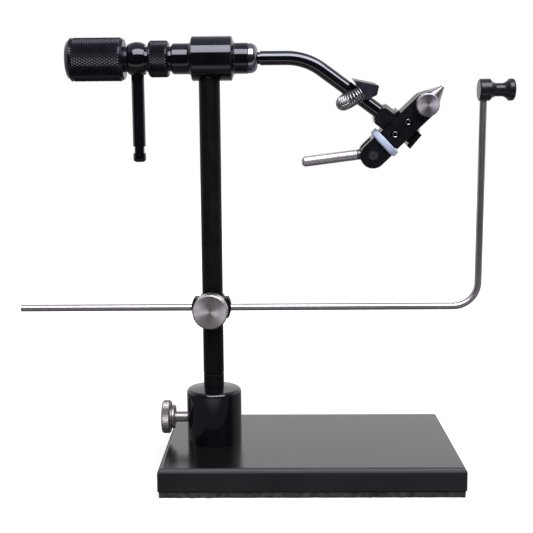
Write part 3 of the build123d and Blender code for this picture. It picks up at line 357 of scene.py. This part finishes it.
def spunFinish(name, look):
    mat, tree, shader = startFinish(name)
    here = pieceCoords(tree, look["centre"], look["turn"])
    rings = addNode(tree, "TexWave", wave_type="RINGS", rings_direction="Z")
    feedAll(tree, rings, {
        "Vector": here, "Scale": look["ringScale"],
        "Distortion": look["wander"], "Detail Scale": look["wanderScale"],
    })
    ring = rings.outputs["Fac"]
    cloud = speckle(tree, here, look["cloudScale"], cloudDetail)
    # brushed round the disc's axis
    tilt = look["turn"][0]
    arm = vectorNode(tree, "SUBTRACT", coordsNode(tree, "Object"), look["centre"])
    along = vectorNode(tree, "CROSS_PRODUCT", arm, (0, -math.sin(tilt), math.cos(tilt)))
    placed = addNode(
        tree, "VectorTransform", vector_type="VECTOR", convert_from="OBJECT", convert_to="WORLD"
    )
    feed(tree, along, placed.inputs[0])
    feedAll(tree, shader, {
        "Base Color": mixColour(tree, ring, look["dark"], look["light"]),
        "Roughness": spread(tree, cloud, *look["rough"]), "Metallic": 1,
        "Anisotropic": look["brushed"], "Tangent": vectorNode(tree, "NORMALIZE", placed.outputs[0]),
    })
    relief(tree, shader, ring, look["ringDepth"])
    return mat


def boxCentre(node):
    low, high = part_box(node)
    return (low + high) / 2


# The head stands rolled about the rotary axis; stations on the jaws run from jawPivot along jawWay
headRoll = math.radians(7)
headTurn = Matrix.Rotation(headRoll, 3, "X")
headFront = headTurn @ Vector((0, -1, 0))
jawPivot = Vector((0.029293, 0.005277, 0.146124))
jawWay = Vector((0.71934, -0.08466, 0.68948))
discStation = 0.0327

plateBlack = blackFinish("plateBlack", {
    "dark": (0.003, 0.003, 0.003), "light": (0.006, 0.006, 0.006),
    "cloudScale": 45, "grainScale": 2600,
    "rough": (0.18, 0.24), "gloss": 0.85, "grainDepth": 0.000001, "edgeRough": 0.55,
})
glossBlack = blackFinish("glossBlack", {
    "dark": (0.0012, 0.0012, 0.002), "light": (0.0025, 0.0025, 0.004),
    "cloudScale": 90, "grainScale": 3000,
    "rough": (0.06, 0.11), "gloss": 0.5, "grainDepth": 0.0000005,
})
shaftBlack = blackFinish("shaftBlack", {
    "dark": (0.0012, 0.0012, 0.002), "light": (0.0025, 0.0025, 0.004),
    "cloudScale": 90, "grainScale": 3000,
    "rough": (0.07, 0.12), "gloss": 0.9, "grainDepth": 0.0000005,
})
stemBlack = blackFinish("stemBlack", {
    "dark": (0.002, 0.002, 0.002), "light": (0.004, 0.004, 0.004),
    "cloudScale": 120, "grainScale": 3200,
    "rough": (0.36, 0.48), "gloss": 0.10, "grainDepth": 0.000004,
})
knurlBlack = blackFinish("knurlBlack", {
    "dark": (0.002, 0.002, 0.003), "light": (0.006, 0.006, 0.008),
    "cloudScale": 150, "grainScale": 4000,
    "rough": (0.20, 0.28), "gloss": 0.26, "grainDepth": 0.000001,
})
jawBlack = blackFinish("jawBlack", {
    "dark": (0.003, 0.003, 0.004), "light": (0.007, 0.007, 0.008),
    "cloudScale": 200, "grainScale": 3500,
    "rough": (0.18, 0.28), "gloss": 0.35, "grainDepth": 0.000002,
})
clipBlack = blackFinish("clipBlack", {
    "dark": (0.008, 0.008, 0.012), "light": (0.018, 0.018, 0.025),
    "cloudScale": 260, "grainScale": 3000,
    "rough": (0.28, 0.38), "gloss": 0.4, "grainDepth": 0.000004,
})
acetalBlack = blackFinish("acetalBlack", {
    "dark": (0.004, 0.004, 0.004), "light": (0.010, 0.010, 0.010),
    "cloudScale": 400, "grainScale": 900, "stretch": (6, 1, 1),
    "rough": (0.22, 0.32), "gloss": 0.35, "grainDepth": 0.000004,
})
screwBlack = blackFinish("screwBlack", {
    "dark": (0.010, 0.010, 0.010), "light": (0.030, 0.030, 0.030),
    "cloudScale": 300, "grainScale": 3000,
    "rough": (0.18, 0.30), "gloss": 0.6, "grainDepth": 0.000004,
})
rodSteel = steelFinish("rodSteel", {
    "dark": (0.43, 0.395, 0.375), "light": (0.50, 0.46, 0.44),
    "lineScale": 40, "cloudScale": 120, "rough": (0.30, 0.38), "lineDepth": 0.000001,
})
leverSteel = steelFinish("leverSteel", {
    "dark": (0.52, 0.47, 0.455), "light": (0.60, 0.55, 0.535),
    "lineScale": 30, "cloudScale": 200, "rough": (0.42, 0.50), "lineDepth": 0.0000002,
})
nickelSteel = steelFinish("nickelSteel", {
    "dark": (0.22, 0.195, 0.175), "light": (0.32, 0.295, 0.27), "stretch": (12, 12, 12),
    "lineScale": 60, "cloudScale": 300, "rough": (0.38, 0.50), "lineDepth": 0.000006,
})
springSteel = steelFinish("springSteel", {
    "dark": (0.32, 0.305, 0.305), "light": (0.46, 0.44, 0.44), "stretch": (20, 20, 20),
    "lineScale": 50, "cloudScale": 400, "rough": (0.32, 0.42), "lineDepth": 0.000001,
})
rimSteel = steelFinish("rimSteel", {
    "dark": (0.50, 0.49, 0.50), "light": (0.64, 0.63, 0.64), "stretch": (20, 20, 20),
    "lineScale": 50, "cloudScale": 300, "rough": (0.08, 0.14), "lineDepth": 0.000001,
})
capSteel = steelFinish("capSteel", {
    "dark": (0.22, 0.22, 0.25), "light": (0.29, 0.29, 0.33), "stretch": (20, 20, 20),
    "lineScale": 50, "cloudScale": 300, "rough": (0.14, 0.22), "lineDepth": 0.000001,
})
darkSteel = steelFinish("darkSteel", {
    "dark": (0.10, 0.10, 0.10), "light": (0.20, 0.19, 0.19), "stretch": (20, 20, 20),
    "lineScale": 60, "cloudScale": 400, "rough": (0.34, 0.48), "lineDepth": 0.000004,
})
bushBronze = steelFinish("bushBronze", {
    "dark": (0.40, 0.27, 0.12), "light": (0.58, 0.42, 0.22), "stretch": (60, 8, 8),
    "lineScale": 30, "cloudScale": 300, "rough": (0.26, 0.38), "lineDepth": 0.000004,
})
clampSpun = spunFinish("clampSpun", {
    "centre": boxCentre("clamp_knob"), "turn": (quarter, 0, 0),
    "ringScale": 900, "wander": 2.0, "wanderScale": 3.0, "cloudScale": 300,
    "dark": (0.50, 0.45, 0.43), "light": (0.65, 0.59, 0.57),
    "rough": (0.36, 0.46), "brushed": 0.7, "ringDepth": 0.000004,
})
jawSpun = spunFinish("jawSpun", {
    "centre": jawPivot + discStation * jawWay, "turn": (quarter + headRoll, 0, 0),
    "ringScale": 1000, "wander": 2.0, "wanderScale": 3.0, "cloudScale": 300,
    "dark": (0.51, 0.46, 0.465), "light": (0.66, 0.60, 0.61),
    "rough": (0.40, 0.50), "brushed": 0.6, "ringDepth": 0.000003,
})

nylonLook = {
    "dark": (0.33, 0.37, 0.44), "light": (0.38, 0.42, 0.50), "rough": (0.38, 0.50),
    "cloudScale": 260, "grainScale": 500, "grainDepth": 0.000001,
    "bleed": 0.4, "bleedReach": 0.001,
}


def nylonFinish(look):
    mat, tree, shader = startFinish("whiteNylon")
    here = pieceCoords(tree)
    cloud = speckle(tree, here, look["cloudScale"], cloudDetail)
    feedAll(tree, shader, {
        "Base Color": mixColour(tree, spread(tree, cloud, 0, 1), look["dark"], look["light"]),
        "Roughness": spread(tree, cloud, *look["rough"]), "Subsurface Weight": look["bleed"],
        "Subsurface Radius": [look["bleedReach"]] * 3, "Subsurface Scale": 1,
    })
    relief(tree, shader, speckle(tree, here, look["grainScale"]), look["grainDepth"])
    return mat


foamLook = {
    "dark": (0.011, 0.0095, 0.008), "light": (0.046, 0.040, 0.036), "rough": (0.75, 0.95),
    "cellScale": 1700, "cellDepth": 0.00015, "cloudScale": 350, "cloudDetail": 4, "gloss": 0.1,
    "creviceShade": (0.001, 0.001, 0.001), "creviceShadeLine": (0.0024, 0.0026),  # painted shade: the pad's top goes near black under the plate's edge
}


def foamFinish(look):
    mat, tree, shader = startFinish("padFoam")
    here = pieceCoords(tree)
    cells = addNode(tree, "TexVoronoi")
    feedAll(tree, cells, {"Vector": here, "Scale": look["cellScale"]})
    cloud = speckle(tree, here, look["cloudScale"], look["cloudDetail"])
    # painted shade: the top of the pad darkens to near black where it meets the plate
    inCreviceShade = spread(tree, splitNode(tree, here)["Z"], 0, 1, *look["creviceShadeLine"])
    foam = mixColour(tree, spread(tree, cloud, 0, 1), look["dark"], look["light"])
    feedAll(tree, shader, {
        "Base Color": mixColour(tree, inCreviceShade, foam, look["creviceShade"]),
        "Roughness": spread(tree, cloud, *look["rough"]), "Specular IOR Level": look["gloss"],
    })
    relief(tree, shader, cells.outputs["Distance"], look["cellDepth"])
    return mat


jawTip = {"stations": (0.0370, 0.0380), "colour": (0.36, 0.33, 0.31)}


def bareTip(mat):
    tree = mat.node_tree
    shader = next(node for node in tree.nodes if node.type == "BSDF_PRINCIPLED")
    painted = shader.inputs["Base Color"].links[0].from_socket
    arm = vectorNode(tree, "SUBTRACT", coordsNode(tree, "Object"), jawPivot)
    station = vectorNode(tree, "DOT_PRODUCT", arm, jawWay)
    bare = spread(tree, station, 0, 1, *jawTip["stations"])
    feedAll(tree, shader, {
        "Base Color": mixColour(tree, bare, painted, jawTip["colour"]), "Metallic": bare,
    })


bareTip(jawBlack)
whiteNylon = nylonFinish(nylonLook)
padFoam = foamFinish(foamLook)
nodeFinish = {
    plateBlack: ["base_plate"],
    padFoam: ["base_pad"],
    glossBlack: [
        "post_socket", "rotary_housing", "crank_hub", "crank_handle", "drag_washer",
        "jaw_guide_screws",
    ],
    capSteel: ["nose_cap"],
    shaftBlack: ["rotary_shaft"],
    stemBlack: ["post_stem", "post_stub", "clamp_block"],
    knurlBlack: ["turning_knob", "tension_ring"],
    jawBlack: ["head_block", "fixed_jaw", "moving_jaw", "cam_clevis"],
    clipBlack: ["clip_plate"],
    screwBlack: [
        "socket_bolt", "hub_set_screw", "knob_set_screw", "head_set_screw", "cradle_set_screw",
    ],
    nickelSteel: ["thumbscrew"],
    rodSteel: ["rest_rod"],
    leverSteel: ["lever_rod"],
    clampSpun: ["clamp_knob", "clamp_screw"],
    jawSpun: ["jaw_adjust_screw"],
    springSteel: ["clip_spring", "jaw_spring"],
    darkSteel: ["cam_pin", "lever_cam", "jaw_wedge", "post_pin"],
    bushBronze: ["front_bushing", "rear_bushing", "thumbscrew_tip"],
    whiteNylon: ["cam_washer"],
    acetalBlack: ["cradle_head", "clamp_liner"],
}
for finish, names in nodeFinish.items():
    for name in names:
        slots = nodes[name].data.materials
        slots.clear()
        slots.append(finish)
print("finishes given to the nodes")


# New pieces
weldGap = 1e-7
sameSpot = 1e-6
edgeGap = 1e-5


def finishPiece(name, bm, finish, body, replaced=(), place=None, sharp=30):
    if place is not None:
        bmesh.ops.transform(bm, matrix=place, verts=bm.verts)
    bmesh.ops.recalc_face_normals(bm, faces=bm.faces)
    mesh = bpy.data.meshes.new(name)
    bm.to_mesh(mesh)
    bm.free()
    mesh.shade_smooth()
    mesh.set_sharp_from_angle(angle=math.radians(sharp))
    mesh.materials.append(finish)
    piece = addObject(name, mesh)
    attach(piece, body)
    if replaced:
        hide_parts(*replaced)
    return piece


def turnedSize(node):
    # length along X, radius, and the move to the left end of its axis
    low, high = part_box(node)
    place = Matrix.Translation((low.x, 0, (low.z + high.z) / 2))
    return high.x - low.x, (high.z - low.z) / 2, place


def spinProfile(stations, steps, split=None, rows=1):
    # stations are (along, radius); the run after the station split is cut in rows
    bm = bmesh.new()
    verts = [bm.verts.new((along, 0, radius)) for along, radius in stations]
    runs = [bm.edges.new(pair) for pair in zip(verts, verts[1:])]
    if split is not None:
        run = runs[stations.index(split)]
        bmesh.ops.subdivide_edges(bm, edges=[run], cuts=rows - 1)
    bmesh.ops.spin(
        bm, geom=bm.verts[:] + bm.edges[:], cent=(0, 0, 0), axis=(1, 0, 0),
        angle=fullTurn, steps=steps, use_merge=True,
    )
    bmesh.ops.remove_doubles(bm, verts=bm.verts, dist=weldGap)
    return bm


def cutKnurl(bm, start, end, radius, rows, steps, depth, diamonds=True):
    # diamonds stand between crossed valleys, or else straight teeth along the axis
    valleys = []
    for vert in bm.verts:
        along, out = vert.co.x, math.hypot(vert.co.y, vert.co.z)
        inRun = start - sameSpot < along < end + sameSpot
        if not (inRun and abs(out - radius) < sameSpot):
            continue
        column = round(math.atan2(vert.co.y, vert.co.z) / fullTurn * steps)
        row = round((along - start) / (end - start) * rows)
        border = diamonds and row in (0, rows)
        if border or (column + row * diamonds) % 2 == 0:
            valleys.append(vert)
    shrink = (radius - depth) / radius
    for vert in valleys:
        vert.co.y *= shrink
        vert.co.z *= shrink
    if diamonds:
        bmesh.ops.connect_verts(bm, verts=valleys)


knurl = {"along": 0.00110, "around": 0.00062, "depth": 0.00038}


def knurledPiece(stations, start, end, radius):
    rows = 2 * round((end - start) / knurl["along"] / 2)
    steps = 2 * round(math.pi * radius / knurl["around"])
    bm = spinProfile(stations, steps, (start, radius), rows)
    cutKnurl(bm, start, end, radius, rows, steps, knurl["depth"])
    return bm


turningKnob = {
    "chamfer": 0.0016, "rightChamfer": 0.0010, "rim": 0.0008,
    "neckRadius": 0.00565, "neck": 0.0018, "lip": 0.0004,
}


def buildTurningKnob():
    length, radius, place = turnedSize("turning_knob")
    chamfer, right, lip = (turningKnob[key] for key in ("chamfer", "rightChamfer", "lip"))
    neckRadius = turningKnob["neckRadius"]
    start = chamfer + turningKnob["rim"]
    end = length - turningKnob["neck"] - right
    stations = [
        (0, 0), (0, radius - chamfer - lip), (lip / 2, radius - chamfer),
        (chamfer, radius - lip / 2), (chamfer + lip / 2, radius), (start, radius),
        (end, radius), (end + right, radius - right),
        (end + right, neckRadius), (length, neckRadius), (length, 0),
    ]
    bm = knurledPiece(stations, start, end, radius)
    finishPiece(
        "knurled_turning_knob", bm, knurlBlack, "rotary", ["turning_knob"], place
    )


tensionRing = {"edge": 0.0005, "bore": 0.0034}


def buildTensionRing():
    length, radius, place = turnedSize("tension_ring")
    edge, bore = tensionRing["edge"], tensionRing["bore"]
    stations = [
        (0, bore), (0, radius - 2 * edge), (edge, radius), (length - edge, radius),
        (length, radius - 2 * edge), (length, bore), (0, bore),
    ]
    bm = knurledPiece(stations, edge, length - edge, radius)
    finishPiece(
        "knurled_tension_ring", bm, knurlBlack, "tension_ring", ["tension_ring"],
        place,
    )


thumbScrew = {
    "teeth": 54, "depth": 0.00022, "edge": 0.0006, "head": 0.0039,
    "collar": 0.0020, "collarRadius": 0.0055, "undercut": 0.0004, "shankRadius": 0.00238,
    "dish": 0.0004, "dishRadius": 0.0052,
}


def buildThumbScrew():
    length, radius, place = turnedSize("thumbscrew")
    edge, head, dish = (thumbScrew[key] for key in ("edge", "head", "dish"))
    dishRadius, cut, shank = (thumbScrew[key] for key in ("dishRadius", "undercut", "shankRadius"))
    collar, collarEnd = thumbScrew["collarRadius"], head + thumbScrew["collar"]
    stations = [
        (dish, 0), (dish, dishRadius), (0, dishRadius + dish),
        (0, radius - edge), (edge, radius), (head - edge, radius), (head, radius - edge),
        (head, collar - cut), (head + cut, collar - cut), (head + 2 * cut, collar),
        (collarEnd - cut, collar), (collarEnd, collar - cut),
        (collarEnd, shank), (length, shank), (length, 0),
    ]
    steps = 2 * thumbScrew["teeth"]
    bm = spinProfile(stations, steps)
    cutKnurl(bm, edge, head - edge, radius, 1, steps, thumbScrew["depth"], diamonds=False)
    finishPiece(
        "knurled_thumbscrew", bm, nickelSteel, "thumbscrew", ["thumbscrew"], place
    )


clipCoil = {
    "centre": (0.02150, 0.00201, 0.17277), "tilt": 33.0, "loopRadius": 0.00695, "leg": 0.0025,
    "coilRadius": 0.0030, "wire": 0.00032, "turns": 25, "perTurn": 16,
    "wireSides": 2, "smooth": 2,  # Blender's resolution round the wire and along it
}


def clipFrame():
    tilt = math.radians(clipCoil["tilt"])
    along = headTurn @ Vector((math.cos(tilt), 0, math.sin(tilt)))
    return axesAt(clipCoil["centre"], along, headFront.cross(along), headFront)


def buildClipCoil():
    radius, leg, coil = (clipCoil[key] for key in ("loopRadius", "leg", "coilRadius"))
    length = 2 * leg + math.pi * radius
    count = clipCoil["turns"] * clipCoil["perTurn"]
    data = bpy.data.curves.new("clipCoil", "CURVE")
    data.dimensions = "3D"
    data.bevel_depth = clipCoil["wire"]
    data.bevel_resolution = clipCoil["wireSides"]
    data.use_fill_caps = True
    line = data.splines.new("NURBS")
    line.points.add(count)
    place = clipFrame()
    for index, point in enumerate(line.points):
        # leg, half loop round the shaft, leg; the wire winds round that line
        along = length * index / count
        bend = min(max((along - leg) / radius, 0), math.pi)
        ahead = Vector((-math.cos(bend), 0, -math.sin(bend)))
        outward = Vector((-math.sin(bend), 0, math.cos(bend)))
        spot = outward * radius + ahead * (along - leg - bend * radius)
        turn = fullTurn * index / clipCoil["perTurn"]
        spot += Vector((0, 1, 0)) * coil * math.cos(turn) + outward * coil * math.sin(turn)
        point.co = (*(place @ spot), 1)
    line.order_u = 4
    line.use_endpoint_u = True
    line.resolution_u = clipCoil["smooth"]
    maker = addObject("clipCoilLine", data)
    bpy.context.view_layer.update()
    drawn = maker.evaluated_get(bpy.context.evaluated_depsgraph_get())
    mesh = bpy.data.meshes.new_from_object(drawn)
    bpy.data.objects.remove(maker)
    bm = bmesh.new()
    bm.from_mesh(mesh)
    finishPiece(
        "wound_clip_spring", bm, springSteel, "material_clip", ["clip_spring"],
        sharp=60,
    )


foamPad = {
    "cell": 0.0012, "layers": 4, "grainScale": 420.0,
    "ragged": 0.00045, "fineShare": 0.6, "fineScale": 2.7,
    "fringe": 0.0006, "fringeScale": 0.35,  # grows towards the table
}


def padBlock(low, high):
    size = high - low
    bm = bmesh.new()
    columns, rows = (round(size[axis] / foamPad["cell"]) for axis in (0, 1))
    bmesh.ops.create_grid(bm, x_segments=columns, y_segments=rows, size=0.5)  # 1 m across
    bmesh.ops.scale(bm, vec=(size.x, size.y, 1), verts=bm.verts)
    bmesh.ops.translate(bm, vec=((low.x + high.x) / 2, (low.y + high.y) / 2, low.z), verts=bm.verts)
    rise = (0, 0, size.z / foamPad["layers"])
    layer = bm.faces[:]
    for index in range(foamPad["layers"]):
        grown = bmesh.ops.extrude_face_region(bm, geom=layer)["geom"]
        if index:
            bmesh.ops.delete(bm, geom=layer, context="FACES_ONLY")
        lifted = [item for item in grown if isinstance(item, bmesh.types.BMVert)]
        bmesh.ops.translate(bm, vec=rise, verts=lifted)
        layer = [item for item in grown if isinstance(item, bmesh.types.BMFace)]
    return bm


def buildFoamPad():
    low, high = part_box("base_pad")
    size, middle = high - low, boxCentre("base_pad")
    bm = padBlock(low, high)
    for vert in bm.verts:
        spot = vert.co * foamPad["grainScale"]
        fine = noise.noise(spot * foamPad["fineScale"])
        rough = noise.noise(spot) + foamPad["fineShare"] * fine
        height = (vert.co.z - low.z) / size.z
        loose = foamPad["fringe"] * (1 - height) * noise.noise(spot * foamPad["fringeScale"])
        push = foamPad["ragged"] * rough + loose
        for axis in (0, 1):
            off = vert.co[axis] - middle[axis]
            if abs(abs(off) - size[axis] / 2) < edgeGap:
                vert.co[axis] += math.copysign(push, off)
    pad = finishPiece("foam_pad", bm, padFoam, "base", ["base_pad"], sharp=50)


screwRim = {
    "stations": (0.0135, 0.02145), "front": 0.00436, "radius": 0.00118, "wire": 0.00026,
    "steps": 32, "sides": 8,
}


def buildScrewRims():
    wire, sides = screwRim["wire"], screwRim["sides"]
    turns = [fullTurn * side / sides for side in range(sides + 1)]
    ring = [(wire * math.cos(turn), screwRim["radius"] + wire * math.sin(turn)) for turn in turns]
    for index, station in enumerate(screwRim["stations"], 1):
        centre = jawPivot + station * jawWay + screwRim["front"] * headFront
        place = axesAt(centre, headFront, jawWay, headFront.cross(jawWay))
        finishPiece(
            f"jaw_screw_rim_{index}", spinProfile(ring, screwRim["steps"]), rimSteel, "rotary",
            place=place, sharp=60,
        )


buildTurningKnob()
buildTensionRing()
buildScrewRims()
buildThumbScrew()
buildClipCoil()
buildFoamPad()
print("knurls, spring, pad and screw rims made")
